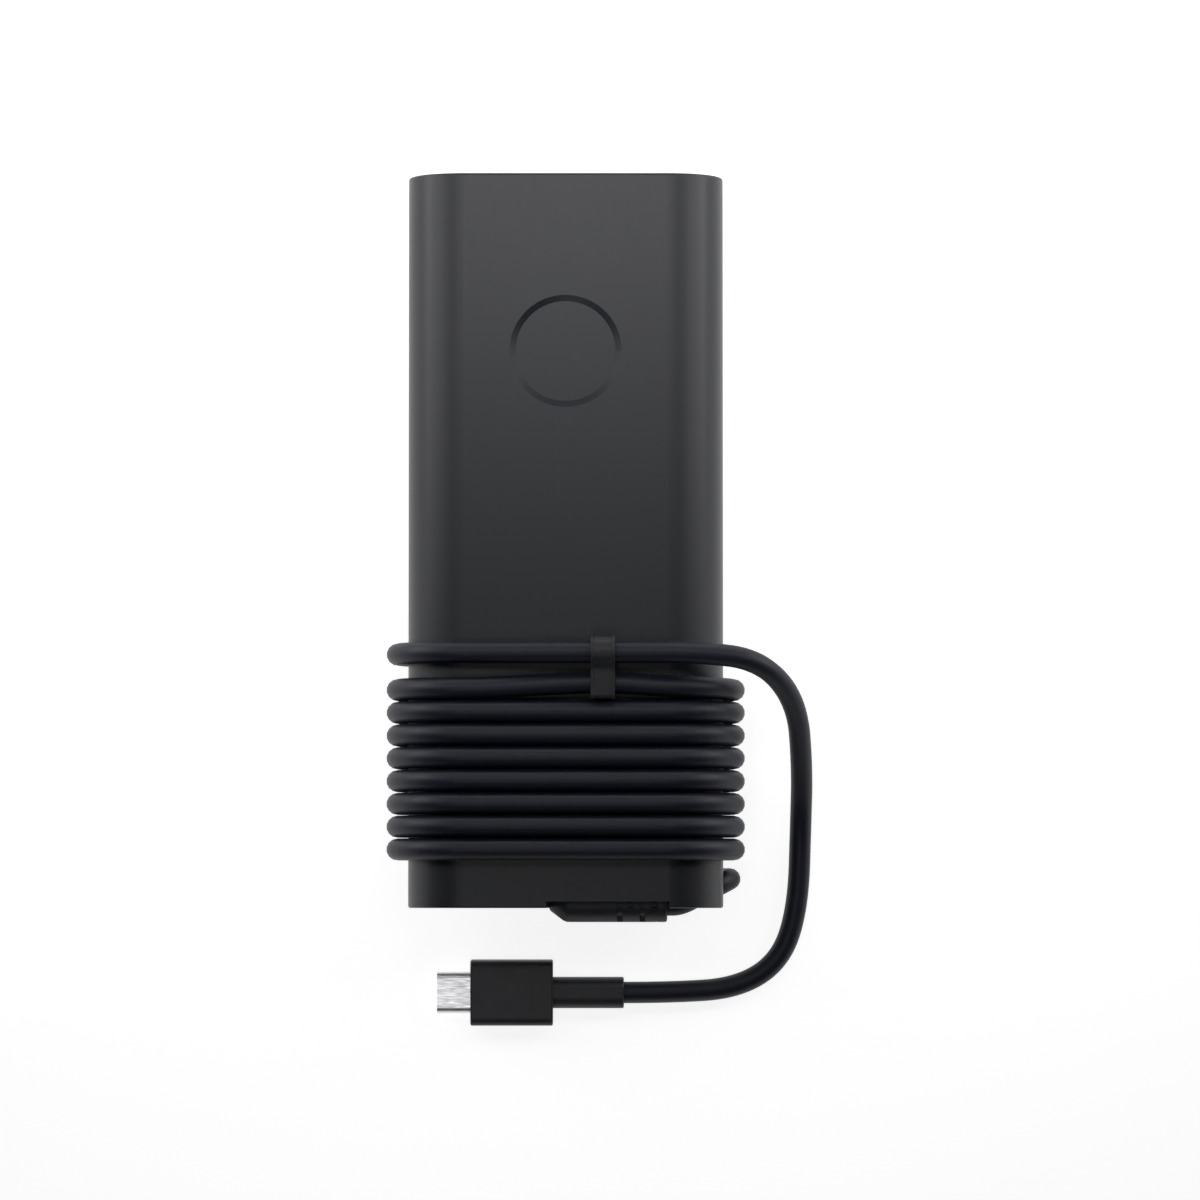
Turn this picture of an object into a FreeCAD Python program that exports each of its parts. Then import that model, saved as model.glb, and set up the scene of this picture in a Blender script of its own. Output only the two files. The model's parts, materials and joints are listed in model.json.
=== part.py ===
"""Laptop power adapter with its output cord wound round the case, on a desk.

Millimetres. The row frame has +Z up, with z = 0 on the desk, +Y towards the mains inlet and +X to
the side where the cord leaves the winding. The case is modelled square to its own axes, its back face
at z = 0, and then set down as it rests: on the back edge of its inlet end and on the first turn of the
cord, so it leans by a few degrees. The free stretch of cord and the plug lie on the desk.
"""

import FreeCAD
import Part
import math
import os
from FreeCAD import Placement, Rotation, Vector

# The case
case_length = 144.0
case_width = 62.0
case_thickness = 22.0
wall = 2.0
end_wall = 2.4
end_edge_radius = 0.45
seam_groove_width = 0.3
seam_groove_depth = 0.25
badge_diameter = 22.0
badge_depth = 0.4
badge_slope = 1.2
badge_from_inlet_end = 35.0
lip_thickness = 1.0
lip_height = 1.6
lip_root = 2.4
lip_gap = 0.1
label_length = 62.0
label_width = 34.0
label_thickness = 0.15
label_recess_depth = 0.25
label_margin = 0.3
label_from_inlet_end = 12.0

# The output cord
cord_diameter = 4.0
cord_gap = 0.15
turn_count = 8
turn_gap = 0.48
last_turn_gap = 3.0
first_turn_from_end = 11.5
step_roundness = 0.35
nip_shift = 1.1
nip_length = 7.0
winding_end_past_keeper = 6.7
last_lift_run = 20.0
exit_angle = 27.0
exit_bend_radius = 10.0
exit_turn_past_side = 1.45

# Cord exit boot, in its recess at the output end
boot_radius = 3.4
boot_from_side = 11.0
boot_length = 23.3
boot_gap = 0.2
boot_neck_from_left = 5.3
boot_neck_radius = 3.0
boot_collar_gap = 0.7
boot_collar_thickness = 1.6
boot_overhang = 2.8
boot_bore_length = 8.0
boot_bore_gap = 0.05
boot_core_wall = 0.3
boot_slot_count = 4
boot_slot_width = 1.1
boot_slot_pitch = 2.23
boot_slot_long = 3.4
boot_slot_past_axis = 0.6
boot_web = 1.4
boot_end_band = 2.1
front_notch_depth = 1.3
front_notch_margin = 0.35
corner_notch_before_mouth = 1.5
corner_notch_depth = 10.2

# Cord keeper, a ring on the last turn with a hook over the turn beside it
keeper_width = 4.8
keeper_x = 7.3
keeper_wall = 1.45
keeper_bore_gap = 0.12
keeper_hook_gap = 0.2
keeper_hook_wall = 1.0
keeper_case_gap = 0.15

# The plug
plug_axis_y = -89.4
plug_front_x = -19.0
plug_body_length = 16.4
plug_body_width = 13.0
plug_body_thickness = 6.5
plug_body_edge = 1.6
plug_end_edge = 0.35
plug_boot_length = 14.1
plug_boot_width = 6.2
plug_boot_thickness = 5.6
plug_boot_edge = 2.3
shell_width = 8.25
shell_thickness = 2.4
shell_wall = 0.3
shell_reach = 6.65
shell_root = 3.0
shell_fit = 0.02
tongue_slot_width = 6.75
tongue_slot_height = 0.85
tongue_slot_depth = 5.2
contact_count = 12
contact_pitch = 0.5
contact_width = 0.26
contact_thickness = 0.12
contact_setback = 0.6
latch_width = 0.6
latch_length = 4.6
latch_thickness = 0.2
plug_board_length = 9.0
plug_board_width = 8.6
plug_board_thickness = 0.8

# The mains inlet
inlet_depth = 17.5
inlet_nose_width = 19.0
inlet_nose_corner = 3.0
inlet_body_width = 23.0
inlet_body_gap = 0.6
inlet_shoulder = 0.7
inlet_rim = 1.0
inlet_window_gap = 0.1
socket_depth = 13.6
pin_radius = 1.18
pin_spacing = 8.6
pin_row_height = 5.2
pin_reach = 9.6
pin_tip = 0.5
pin_collar_radius = 1.6
pin_collar_length = 2.0
pin_fit = 0.02
pin_tail_length = 3.0
pin_tail_width = 2.0
pin_tail_thickness = 0.8
pin_tail_gap = 0.3
mains_lead_diameter = 1.4

# Main board and what stands on it
board_side_gap = 5.5
board_thickness = 1.6
board_lift = 3.2
board_end_gap = 0.8
post_radius = 1.8
post_inset = 2.0
lead_diameter = 0.8
lead_hole_gap = 0.1
lead_reach = 1.0
package_lead_pitch = 2.54
part_gap = 1.4
tall_part_gap = 0.55
fuse_size = (9.0, 4.5, 8.5)
x_capacitor_width = 18.0
x_capacitor_depth = 9.0
choke_outer_radius = 8.5
choke_core_radius = 7.6
choke_core_hole = 4.2
choke_core_height = 6.5
choke_winding_split = 3.0
choke_leg_angle = 37.0
y_capacitor_radius = 4.0
y_capacitor_thickness = 3.0
bridge_width = 20.0
bridge_depth = 3.6
sink_thickness = 1.5
primary_sink_length = 40.0
secondary_sink_length = 30.0
bulk_capacitor_count = 2
bulk_capacitor_groove = 0.5
inductor_window = 3.6
inductor_leg = 3.4
inductor_middle_height = 6.0
inductor_turn_corner = 2.5
transistor_depth = 4.4
transformer_core_size = (27.0, 21.0)
transformer_window = 5.5
transformer_leg = 4.6
bobbin_wall = 0.8
core_plate = 2.2
rectifier_width = 10.0
rectifier_depth = 4.4
package_below_sink = 1.0
output_capacitor_radius = 4.0
output_capacitor_count = 4
optocoupler_size = (6.5, 4.6, 3.6)
control_board_size = (1.0, 16.0, 9.5)
control_chip_size = (1.2, 5.0, 4.0)
output_lead_radius = 0.6
output_lead_spacing = 2.4
output_lead_inset = 2.5

# Heat spreaders and insulating film, above and below the board
spreader_side_gap = 10.0
spreader_thickness = 0.5
film_thickness = 0.25
layer_gap = 0.3
thermal_pad_thickness = 0.6

half_length = case_length / 2
half_width = case_width / 2
half_thickness = case_thickness / 2
half_flat = half_width - half_thickness
half_turn = 180.0
cord_radius = cord_diameter / 2
X, Y, Z = Vector(1, 0, 0), Vector(0, 1, 0), Vector(0, 0, 1)

board_holes = []


# ---------------------------------------------------------------- shapes


def box(x, y, z):
    """A box from three (low, high) pairs."""
    return Part.makeBox(x[1] - x[0], y[1] - y[0], z[1] - z[0], Vector(x[0], y[0], z[0]))


def around(middle, size):
    """The (low, high) pair of a stretch of that size about its middle."""
    return middle - size / 2, middle + size / 2


def rod(radius, start, end):
    """A round bar between two points."""
    return Part.makeCylinder(radius, (end - start).Length, start, end - start)


def fused(first, *others):
    return first.fuse(list(others)).removeSplitter() if others else first


def rounded_bar(start, length, axis, across, width, height, corner):
    """A bar of rounded rectangular section, along axis from start, with its width along across."""
    up = axis.cross(across)
    half_w, half_h = width / 2 - corner, height / 2 - corner
    diagonal = corner * math.sqrt(0.5)
    at = lambda w, h: start + across * w + up * h
    edges = []
    corners = [(1, 1), (-1, 1), (-1, -1), (1, -1)]
    ends = []
    for i, (sw, sh) in enumerate(corners):
        side = at(sw * width / 2, sh * half_h)
        top = at(sw * half_w, sh * height / 2)
        first, last = (side, top) if i % 2 == 0 else (top, side)
        middle = at(sw * (half_w + diagonal), sh * (half_h + diagonal))
        edges.append(Part.Arc(first, middle, last).toShape())
        ends.append((first, last))
    joined = []
    for i, edge in enumerate(edges):
        joined.append(edge)
        gap = ends[(i + 1) % 4][0] - ends[i][1]
        if gap.Length > 1e-6:
            joined.append(Part.LineSegment(ends[i][1], ends[(i + 1) % 4][0]).toShape())
    return Part.Face(Part.Wire(joined)).extrude(axis * length)


def case_prism(inset, y):
    """The case's section, flat faces with full round sides, drawn in by inset, over a stretch of y."""
    radius = half_thickness - inset
    low, high = half_thickness - radius, half_thickness + radius
    at = lambda x, z: Vector(x, y[0], z)
    outline = [
        Part.LineSegment(at(-half_flat, high), at(half_flat, high)),
        Part.Arc(at(half_flat, high), at(half_flat + radius, half_thickness), at(half_flat, low)),
        Part.LineSegment(at(half_flat, low), at(-half_flat, low)),
        Part.Arc(at(-half_flat, low), at(-half_flat - radius, half_thickness), at(-half_flat, high)),
    ]
    wire = Part.Wire([piece.toShape() for piece in outline])
    return Part.Face(wire).extrude(Y * (y[1] - y[0]))


# ---------------------------------------------------------------- cord paths


class Path:
    """A line drawn with a moving point, always going on in the direction that it has."""

    def __init__(self, start, heading):
        self.at, self.heading, self.edges = start, heading, []

    def straight(self, length):
        end = self.at + self.heading * length
        if length > 1e-6:
            self.edges.append(Part.LineSegment(self.at, end).toShape())
        self.at = end

    def bend(self, radius, degrees, toward):
        """An arc that turns from the heading towards another direction, square to it."""
        while degrees > 0:
            step = math.radians(min(degrees, 90.0))
            centre = self.at + toward * radius
            along = self.heading
            place = lambda a: centre + (along * math.sin(a) - toward * math.cos(a)) * radius
            end = place(step)
            self.edges.append(Part.Arc(self.at, place(step / 2), end).toShape())
            heading = self.heading * math.cos(step) + toward * math.sin(step)
            toward = toward * math.cos(step) - self.heading * math.sin(step)
            self.at, self.heading = end, heading
            degrees -= 90.0

    def side_step(self, length, shift, toward):
        """Goes that far on and moves sideways by shift, on two arcs and the straight run between."""
        if shift < 0:
            toward, shift = toward * -1, -shift
        radius = step_roundness * (length**2 + shift**2) / (4 * shift)
        across = shift - 2 * radius
        slope = math.atan2(across, length) + math.asin(2 * radius / math.hypot(length, across))
        heading = self.heading
        self.bend(radius, math.degrees(slope), toward)
        self.straight(math.sqrt(length**2 + across**2 - 4 * radius**2))
        back = heading * math.sin(slope) - toward * math.cos(slope)
        self.bend(radius, math.degrees(slope), back)
        self.heading = heading


def rounded_route(points):
    """Straight runs through the points, joined by tangent arcs as large as the shorter run allows."""
    edges, radii, at = [], [], points[0]
    for before, corner, after in zip(points, points[1:], points[2:]):
        back, on = before - corner, after - corner
        shorter = 0.45 * min(back.Length, on.Length)
        half_angle = (math.pi - back.getAngle(on)) / 2
        back.normalize()
        on.normalize()
        radius = shorter / math.tan(half_angle)
        start, end = corner + back * shorter, corner + on * shorter
        inward = (back + on).normalize()
        middle = corner + inward * (radius / math.cos(half_angle) - radius)
        edges.append(Part.LineSegment(at, start).toShape())
        edges.append(Part.Arc(start, middle, end).toShape())
        radii.append(radius)
        at = end
    edges.append(Part.LineSegment(at, points[-1]).toShape())
    return edges, radii


def tube(edges, radius, name=None):
    """A round tube along edges that follow on smoothly. With a name, it prints how true the tube is."""
    wire = Part.Wire(edges)
    start = edges[0].Vertexes[0].Point
    heading = edges[0].tangentAt(edges[0].FirstParameter)
    section = Part.Wire([Part.makeCircle(radius, start, heading)])
    solid = wire.makePipeShell([section], True, False)
    if name:
        ideal = math.pi * radius**2 * wire.Length
        print(f"{name}: {wire.Length:.1f} mm long, volume {solid.Volume / ideal:.5f} of section x length")
    return solid


def least_gap(edges, diameter):
    """The least distance between the surfaces of a tube's stretches that lie beside each other."""
    spacing = 2.0
    points, along, travelled = [], [], 0.0
    for edge in edges:
        count = max(1, round(edge.Length / spacing))
        for n in range(count):
            points.append(edge.valueAt(edge.getParameterByLength(edge.Length * n / count)))
            along.append(travelled + edge.Length * n / count)
        travelled += edge.Length
    best = math.inf
    for i, here in enumerate(points):
        for j in range(i + 1, len(points)):
            if along[j] - along[i] > 4 * diameter:
                best = min(best, here.distanceToPoint(points[j]))
    return best - diameter


# ---------------------------------------------------------------- places

cavity_y = (-half_length + end_wall, half_length - end_wall)
boot_mouth = half_width - boot_from_side
boot_left = boot_mouth - boot_length
boot_neck_x = boot_left + boot_neck_from_left
corner_notch_x = boot_mouth - corner_notch_before_mouth
boot_axis_y = -half_length - boot_overhang + boot_radius
boot_axis_z = half_thickness - boot_radius - boot_gap
boot_collar_size = 2 * (boot_axis_z - wall - boot_collar_gap)
recess_wall_y = boot_axis_y + boot_radius + boot_gap
recess_left = boot_left - boot_gap
collar_y = (recess_wall_y + wall + boot_gap, recess_wall_y + wall + boot_gap + boot_collar_thickness)

winding_end_x = keeper_x + winding_end_past_keeper
wrap_height = cord_radius + cord_gap
turn_radius = half_thickness + wrap_height
turn_pitch = cord_diameter + turn_gap
first_turn_y = -half_length + first_turn_from_end
nipped_turn_y = first_turn_y + (turn_count - 1) * turn_pitch
last_turn_climb = cord_diameter + last_turn_gap
last_turn_y = nipped_turn_y + last_turn_climb
keeper_ring_radius = cord_radius + keeper_bore_gap + keeper_wall
last_turn_height = keeper_ring_radius + keeper_case_gap
last_turn_lift = last_turn_height - wrap_height

# The lean: the first contact is the end of the last pass behind the case, nearest to the inlet end.
contact_reach = half_length - last_turn_y
lean = math.atan2(wrap_height, contact_reach) + math.asin(
    cord_radius / math.hypot(contact_reach, wrap_height)
)
at_rest = Placement(
    Vector(0, -case_thickness * math.sin(lean) / 2, half_length * math.sin(lean)),
    Rotation(X, -math.degrees(lean)),
)

board_low = wall + board_lift
board_top = board_low + board_thickness
board_y = (
    -half_length + corner_notch_depth + wall + board_end_gap,
    half_length - inlet_depth - board_end_gap,
)
board_width = case_width - 2 * board_side_gap
board_x = around(0, board_width)
spreader_width = case_width - 2 * spreader_side_gap
lower_spreader_z = (wall + layer_gap, wall + layer_gap + spreader_thickness)
lower_film_z = (lower_spreader_z[1], lower_spreader_z[1] + film_thickness)
upper_film_z = (
    case_thickness - wall - layer_gap - film_thickness,
    case_thickness - wall - layer_gap,
)
upper_spreader_z = (upper_film_z[0] - spreader_thickness, upper_film_z[0])
part_height = upper_spreader_z[0] - thermal_pad_thickness - board_top
tall_height = part_height - tall_part_gap
package_height = tall_height - package_below_sink
bulk_capacitor_radius = tall_height / 2

inlet_middle_z = half_thickness
inlet_body_height = case_thickness - 2 * (wall + inlet_body_gap)
inlet_nose_height = inlet_body_height - 2 * inlet_shoulder
socket_lobe_radius = (inlet_nose_height - pin_row_height) / 2 - inlet_rim
pins = {
    "line_pin": Vector(-pin_spacing / 2, 0, inlet_middle_z - pin_row_height / 2),
    "neutral_pin": Vector(pin_spacing / 2, 0, inlet_middle_z - pin_row_height / 2),
    "earth_pin": Vector(0, 0, inlet_middle_z + pin_row_height / 2),
}
socket_floor_y = half_length - socket_depth
inlet_back_y = half_length - inlet_depth
first_row_y = inlet_back_y - pin_tail_length - part_gap

exit_turn_radius = (boot_axis_z + wrap_height) / 2
plug_axis_z = plug_body_thickness / 2
plug_back_x = plug_front_x + plug_body_length
plug_boot_end_x = plug_back_x + plug_boot_length


# ---------------------------------------------------------------- output cord


def winding_path():
    """The cord from its boot, round the corner to the back, eight turns, and the last pass in front."""
    path = Path(Vector(boot_mouth - boot_bore_length, boot_axis_y, boot_axis_z), X)
    path.straight(boot_bore_length)
    path.bend(exit_bend_radius, exit_angle, Y)
    slope = math.radians(exit_angle)
    side_x = half_width + exit_turn_past_side
    path.straight((side_x - path.at.x) / math.cos(slope) - exit_turn_radius)
    path.bend(exit_turn_radius, 90, Z * -1)
    path.bend(exit_turn_radius, 90, X * -1)
    path.side_step(path.at.x + half_flat, first_turn_y - path.at.y, Y)
    for turn in range(turn_count):
        path.bend(turn_radius, half_turn, Z)
        if turn < turn_count - 1:
            path.straight(2 * half_flat)
            climb = turn_pitch
        else:
            path.side_step(half_flat + keeper_x - nip_length / 2, nip_shift, Y)
            path.straight(nip_length)
            path.side_step(half_flat - keeper_x - nip_length / 2, -nip_shift, Y)
            climb = last_turn_climb
        path.bend(turn_radius, half_turn, Z * -1)
        path.side_step(2 * half_flat, climb, Y)
    path.bend(turn_radius, half_turn, Z)
    path.side_step(last_lift_run, last_turn_lift, Z)
    path.straight(winding_end_x - path.at.x)
    return path


winding = winding_path()
free_start = at_rest.multVec(winding.at)

# The free stretch, from the end of the winding over the side of the case to the desk and the plug.
free_route = [
    free_start,
    Vector(half_width - 5.5, free_start.y, free_start.z),
    Vector(half_width + 7.0, -22.9, 28.2),
    Vector(half_width + 14.5, -31.3, 19.5),
    Vector(half_width + 15.8, -45.0, 8.5),
    Vector(half_width + 15.7, -55.5, 2.4),
    Vector(half_width + 15.2, -72.2, 2.0),
    Vector(half_width + 11.8, -83.0, 2.0),
    Vector(half_width + 3.2, -88.6, 2.0),
    Vector(20.5, plug_axis_y, plug_axis_z),
    Vector(plug_boot_end_x, plug_axis_y, plug_axis_z),
]


def wound_cord():
    print(f"winding: least gap to itself {least_gap(winding.edges, cord_diameter):.3f} mm")
    return tube(winding.edges, cord_radius, "wound_cord")


def free_cord():
    edges, radii = rounded_route(free_route)
    print("free cord: radii", " ".join(f"{radius:.0f}" for radius in radii))
    return tube(edges, cord_radius, "free_cord")


# ---------------------------------------------------------------- case


def recess_boxes(grow, top):
    """The recess for the boot and the open corner that the cord turns round, grown by a wall."""
    outside = -half_length - wall
    floor = boot_axis_z - boot_radius - boot_gap
    boot_room = box(
        (recess_left - grow, half_width + wall), (outside, recess_wall_y + grow), (floor - grow, top)
    )
    corner = box(
        (corner_notch_x - grow, half_width + wall),
        (outside, -half_length + corner_notch_depth + grow),
        (-wall, top),
    )
    return boot_room.fuse(corner)


def case_blank():
    """The closed outer form of the case, its end rims rounded, its seam cut all round."""
    blank = case_prism(0, (-half_length, half_length))
    rims = [
        edge
        for edge in blank.Edges
        if abs(abs(edge.BoundBox.YMin) - half_length) < 1e-6 and edge.BoundBox.YLength < 1e-6
    ]
    blank = blank.makeFillet(end_edge_radius, rims)
    seam = around(half_thickness, seam_groove_width)
    band = box((-half_width, half_width), (-half_length, half_length), seam)
    core_end = half_length - seam_groove_depth
    core = case_prism(seam_groove_depth, (-core_end, core_end))
    return blank.cut(band.cut(core))


def case_cavity():
    room = case_prism(wall, cavity_y)
    room = room.cut(recess_boxes(wall, half_thickness + wall))
    return room


def half(shape, low, high):
    """What a shape has between two heights."""
    return shape.common(box((-half_width, half_width), (-case_length, case_length), (low, high)))


def inlet_window():
    return rounded_bar(
        Vector(0, cavity_y[1] - wall, inlet_middle_z), end_wall + 2 * wall, Y, X,
        inlet_nose_width + 2 * inlet_window_gap, inlet_nose_height + 2 * inlet_window_gap,
        inlet_nose_corner + inlet_window_gap,
    )


def neck_hole():
    start = Vector(boot_neck_x, boot_axis_y, boot_axis_z)
    return rod(boot_neck_radius + boot_gap, start, start + Y * (collar_y[0] - boot_axis_y))


def front_cover():
    cover = half(case_blank().cut(case_cavity()), half_thickness, case_thickness)
    badge = Part.makeCone(
        badge_diameter / 2 - badge_slope, badge_diameter / 2, badge_depth,
        Vector(0, half_length - badge_from_inlet_end, case_thickness - badge_depth), Z,
    )
    notch = box(
        (recess_left - front_notch_margin, boot_mouth + front_notch_margin),
        (-half_length - wall, -half_length + front_notch_depth),
        (half_thickness, case_thickness),
    )
    return cover.cut([badge, notch, inlet_window(), neck_hole()])


def back_cover():
    shell = case_blank().cut(case_cavity()).cut(recess_boxes(0, half_thickness))
    cover = half(shell, 0, half_thickness)
    outer = case_prism(wall + lip_gap, (cavity_y[0] + lip_gap, cavity_y[1] - lip_gap))
    inset = lip_gap + lip_thickness
    inner = case_prism(wall + inset, (cavity_y[0] + inset, cavity_y[1] - inset))
    lip = half(outer.cut(inner), half_thickness - lip_root, half_thickness + lip_height)
    root = half(case_prism(wall, cavity_y).cut(inner), half_thickness - lip_root, half_thickness)
    keep_out = [recess_boxes(wall + lip_gap, half_thickness + wall + lip_gap), inlet_room()]
    posts = []
    for side in (-1, 1):
        for end in (board_y[0] + post_inset, board_y[1] - post_inset):
            x = side * (board_width / 2 - post_inset)
            posts.append(rod(post_radius, Vector(x, end, wall), Vector(x, end, board_low)))
    label = label_box(label_margin, label_recess_depth)
    cover = fused(cover, lip.cut(keep_out), root.cut(keep_out), *posts)
    return cover.cut([inlet_window(), neck_hole(), label])


def inlet_room():
    """The room that the inlet's body takes inside the case, where the covers' lip stops short."""
    half_body = inlet_body_width / 2 + lip_gap
    return box((-half_body, half_body), (inlet_back_y, half_length), (0, case_thickness))


def label_box(margin, depth):
    middle_y = half_length - label_from_inlet_end - label_length / 2
    return box(
        around(0, label_width + 2 * margin), around(middle_y, label_length + 2 * margin), (-wall, depth)
    )


def rating_label():
    label = label_box(0, label_recess_depth)
    return label.common(
        box((-half_width, half_width), (-half_length, half_length),
            (label_recess_depth - label_thickness, label_recess_depth))
    )


# ---------------------------------------------------------------- mains inlet


def pin_shape(grow):
    """One contact pin along +Y, its collar in the socket's floor and its flat tail behind."""
    tip_y = socket_floor_y + pin_reach
    shaft = rod(pin_radius + grow, Vector(0, inlet_back_y, 0), Vector(0, tip_y - pin_tip, 0))
    tip_start = Vector(0, tip_y - pin_tip, 0)
    tip = Part.makeCone(pin_radius + grow, pin_radius - pin_tip, pin_tip, tip_start, Y)
    collar_start = Vector(0, socket_floor_y - pin_collar_length, 0)
    collar = rod(pin_collar_radius + grow, collar_start, Vector(0, socket_floor_y, 0))
    tail = box(
        around(0, pin_tail_width), (inlet_back_y - pin_tail_length, inlet_back_y),
        around(0, pin_tail_thickness),
    )
    return fused(shaft, tip, collar, tail)


def contact_pin(name):
    pin = pin_shape(0)
    pin.translate(pins[name])
    return pin


def inlet_socket():
    """The socket's housing: a nose in the end wall's window and a wider body behind the wall."""
    nose = rounded_bar(
        Vector(0, cavity_y[1] - wall, inlet_middle_z), end_wall + wall, Y, X,
        inlet_nose_width, inlet_nose_height, inlet_nose_corner,
    )
    body = rounded_bar(
        Vector(0, inlet_back_y, inlet_middle_z), cavity_y[1] - inlet_back_y, Y, X,
        inlet_body_width, inlet_body_height, inlet_nose_corner,
    )
    lobes = [
        rod(socket_lobe_radius, place + Y * socket_floor_y, place + Y * half_length)
        for place in pins.values()
    ]
    saddle = box(
        around(0, pin_spacing), (socket_floor_y, half_length),
        (inlet_middle_z - pin_row_height / 2 - socket_lobe_radius, inlet_middle_z + pin_row_height / 2),
    )
    holes = []
    for place in pins.values():
        hole = pin_shape(pin_fit)
        hole.translate(place)
        holes.append(hole)
    return nose.fuse(body).removeSplitter().cut([*lobes, saddle, *holes])


def mains_leads():
    """Three wires, from the undersides of the pins' tails down into the main board."""
    bars = []
    for place in pins.values():
        y = inlet_back_y - pin_tail_length + mains_lead_diameter / 2
        top = place.z - pin_tail_thickness / 2
        bars += leads([(place.x, y)], top, mains_lead_diameter / 2)
    return Part.makeCompound(bars)


# ---------------------------------------------------------------- main board and its parts


def leads(places, top=board_top, radius=lead_diameter / 2):
    """Wires that stand in holes of the main board at these (x, y), up to a height."""
    bars = []
    for x, y in places:
        board_holes.append((x, y, radius + lead_hole_gap))
        bars.append(rod(radius, Vector(x, y, board_low - lead_reach), Vector(x, y, top)))
    return bars


def block(middle_x, middle_y, size, low=board_top):
    """A block of (x, y, z) size that stands on the board about a place."""
    return box(around(middle_x, size[0]), around(middle_y, size[1]), (low, low + size[2]))


def two_legged(middle_x, middle_y, size):
    """A block with two leads in line with its width."""
    legs = leads([(middle_x - size[0] / 4, middle_y), (middle_x + size[0] / 4, middle_y)])
    return fused(block(middle_x, middle_y, size), *legs)


def package_leads(middle_x, middle_y):
    """The three leads of a power package, in line along X."""
    return leads([(middle_x + step * package_lead_pitch, middle_y) for step in (-1, 0, 1)])


def rows(depths, start):
    """The middles of rows that follow each other from start towards the output end."""
    middles, y = [], start
    for depth in depths:
        middles.append(y - depth / 2)
        y -= depth + part_gap
    return middles


sink_row = bridge_depth + sink_thickness
secondary_row = rectifier_depth + sink_thickness
left_edge, right_edge = board_x[0] + part_gap, board_x[1] - part_gap

# The storage capacitors are as long as the other rows leave room for, and the boost inductor fills the
# place beside them and behind the switching transistors.
other_rows = [x_capacitor_depth, 2 * choke_outer_radius, sink_row,
              transformer_core_size[1], secondary_row, 2 * output_capacitor_radius]
last_row_y = board_y[0] + output_lead_inset + 2 * output_lead_radius + part_gap
bulk_capacitor_length = first_row_y - last_row_y - sum(other_rows) - part_gap * len(other_rows)
bulk_width = 2 * bulk_capacitor_radius * bulk_capacitor_count + part_gap * (bulk_capacitor_count - 1)
inductor_core_size = (
    right_edge - left_edge - bulk_width - part_gap,
    bulk_capacitor_length - transistor_depth - part_gap,
)
transistor_width = (inductor_core_size[0] - part_gap) / 2
(filter_y, choke_y, bridge_y, bulk_y, transformer_y, secondary_y, output_y) = rows(
    other_rows[:3] + [bulk_capacitor_length] + other_rows[3:], first_row_y
)
choke_x = left_edge + choke_outer_radius
inductor_x = left_edge + inductor_core_size[0] / 2
inductor_y = bulk_y + bulk_capacitor_length / 2 - inductor_core_size[1] / 2


def inlet_fuse():
    return two_legged(left_edge + fuse_size[0] / 2, filter_y, fuse_size)


def x_capacitor():
    size = (x_capacitor_width, x_capacitor_depth, tall_height)
    return two_legged(right_edge - x_capacitor_width / 2, filter_y, size)


def choke_ring(outer, inner, height):
    middle = Vector(choke_x, choke_y, board_top + (part_height - height) / 2)
    up = middle + Z * height
    return rod(outer, middle, up).cut(rod(inner, middle, up))


def choke_core():
    return choke_ring(choke_core_radius, choke_core_hole, choke_core_height)


def choke_winding():
    """Two windings, one on each half of the ring core, with their leads down to the board."""
    wire = choke_outer_radius - choke_core_radius
    height = choke_core_height + 2 * wire
    ring = choke_ring(choke_outer_radius, choke_core_hole - wire, height)
    gap = block(choke_x, choke_y, (choke_winding_split, 2 * choke_outer_radius, part_height))
    halves = ring.cut(choke_core()).cut(gap)
    low = board_top + (part_height - height) / 2
    middle_radius = choke_core_hole - wire / 2
    angle = math.radians(choke_leg_angle)
    reach_x, reach_y = middle_radius * math.cos(angle), middle_radius * math.sin(angle)
    legs = [
        leads([(choke_x + sx * reach_x, choke_y + sy * reach_y)], low + wire / 2)[0]
        for sx in (-1, 1)
        for sy in (-1, 1)
    ]
    return fused(halves, *legs)


def y_capacitors():
    """Two round disc capacitors on edge, beside the choke."""
    discs = []
    for side in (-1, 1):
        y = choke_y + side * (y_capacitor_thickness + part_gap)
        x = right_edge - y_capacitor_radius - part_gap
        middle_z = board_top + y_capacitor_radius + lead_reach
        start = Vector(x, y - y_capacitor_thickness / 2, middle_z)
        disc = rod(y_capacitor_radius, start, start + Y * y_capacitor_thickness)
        step = y_capacitor_radius / 2
        discs.append(fused(disc, *leads([(x - step, y), (x + step, y)], middle_z)))
    return Part.makeCompound(discs)


def bridge_rectifier():
    y = bridge_y + sink_thickness / 2
    body = block(0, y, (bridge_width, bridge_depth, package_height))
    step = bridge_width / 5
    return fused(body, *leads([(step * n, y) for n in (-1.5, -0.5, 0.5, 1.5)]))


def primary_heat_sink():
    y = bridge_y - bridge_depth / 2
    return block(0, y, (primary_sink_length, sink_thickness, tall_height))


def bulk_capacitors():
    """The store of the rectified mains: electrolytic capacitors lying side by side."""
    cans = []
    for n in range(bulk_capacitor_count):
        x = right_edge - bulk_capacitor_radius - n * (2 * bulk_capacitor_radius + part_gap)
        start = Vector(x, bulk_y - bulk_capacitor_length / 2, board_top + bulk_capacitor_radius)
        can = rod(bulk_capacitor_radius, start, start + Y * bulk_capacitor_length)
        groove_y = start + Y * (bulk_capacitor_length - 2 * bulk_capacitor_radius / 3)
        groove_end = groove_y + Y * bulk_capacitor_groove
        ring = rod(bulk_capacitor_radius, groove_y, groove_end)
        core = rod(bulk_capacitor_radius - bulk_capacitor_groove, groove_y, groove_end)
        cans.append(can.cut(ring.cut(core)))
    return Part.makeCompound(cans)


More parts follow.
